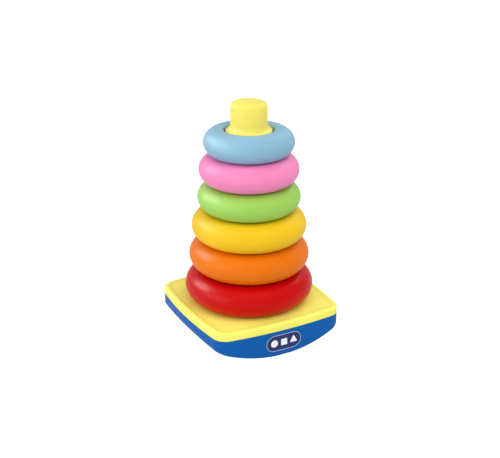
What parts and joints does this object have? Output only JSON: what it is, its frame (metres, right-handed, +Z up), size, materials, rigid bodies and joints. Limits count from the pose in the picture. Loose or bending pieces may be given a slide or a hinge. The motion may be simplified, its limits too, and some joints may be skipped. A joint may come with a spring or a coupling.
{
  "type": "stacking ring toy",
  "caption": "Child's stacking tower: plump hollow rings of falling size on a stepped post, which stands on a square base with a curved underside for rocking.",
  "frame": {"origin": "under the post, on the flat strip of the rocker that the toy stands on", "axes": "+Z up along the post, X the direction in which the base rocks, badge on the -Y side"},
  "size_m": [0.142, 0.142, 0.2338],
  "materials": {
    "blue_plastic": "satin moulded",
    "pale_yellow_plastic": "satin moulded",
    "badge_face": "printed, gloss",
    "screw_steel": "zinc plated",
    "red_plastic": "satin blow-moulded",
    "orange_plastic": "satin blow-moulded",
    "amber_plastic": "satin blow-moulded",
    "green_plastic": "satin blow-moulded",
    "pink_plastic": "satin blow-moulded",
    "light_blue_plastic": "satin blow-moulded"
  },
  "bodies": {
    "base": {"rocker_shell": "blue_plastic", "base_top": "pale_yellow_plastic", "post": "pale_yellow_plastic", "badge": "badge_face", "base_screws": "screw_steel"},
    "red_ring": {"red_ring": "red_plastic"},
    "orange_ring": {"orange_ring": "orange_plastic"},
    "yellow_ring": {"yellow_ring": "amber_plastic"},
    "green_ring": {"green_ring": "green_plastic"},
    "pink_ring": {"pink_ring": "pink_plastic"},
    "blue_ring": {"blue_ring": "light_blue_plastic"}
  },
  "joints": [
    {"name": "red_lift", "type": "slide", "parent": "base", "child": "red_ring", "axis": [0, 0, 1], "range_m": [0, 0.2092]},
    {"name": "orange_lift", "type": "slide", "parent": "red_ring", "child": "orange_ring", "axis": [0, 0, 1], "range_m": [0, 0.1771]},
    {"name": "yellow_lift", "type": "slide", "parent": "orange_ring", "child": "yellow_ring", "axis": [0, 0, 1], "range_m": [0, 0.146]},
    {"name": "green_lift", "type": "slide", "parent": "yellow_ring", "child": "green_ring", "axis": [0, 0, 1], "range_m": [0, 0.117]},
    {"name": "pink_lift", "type": "slide", "parent": "green_ring", "child": "pink_ring", "axis": [0, 0, 1], "range_m": [0, 0.0894]},
    {"name": "blue_lift", "type": "slide", "parent": "pink_ring", "child": "blue_ring", "axis": [0, 0, 1], "range_m": [0, 0.0617]}
  ]
}
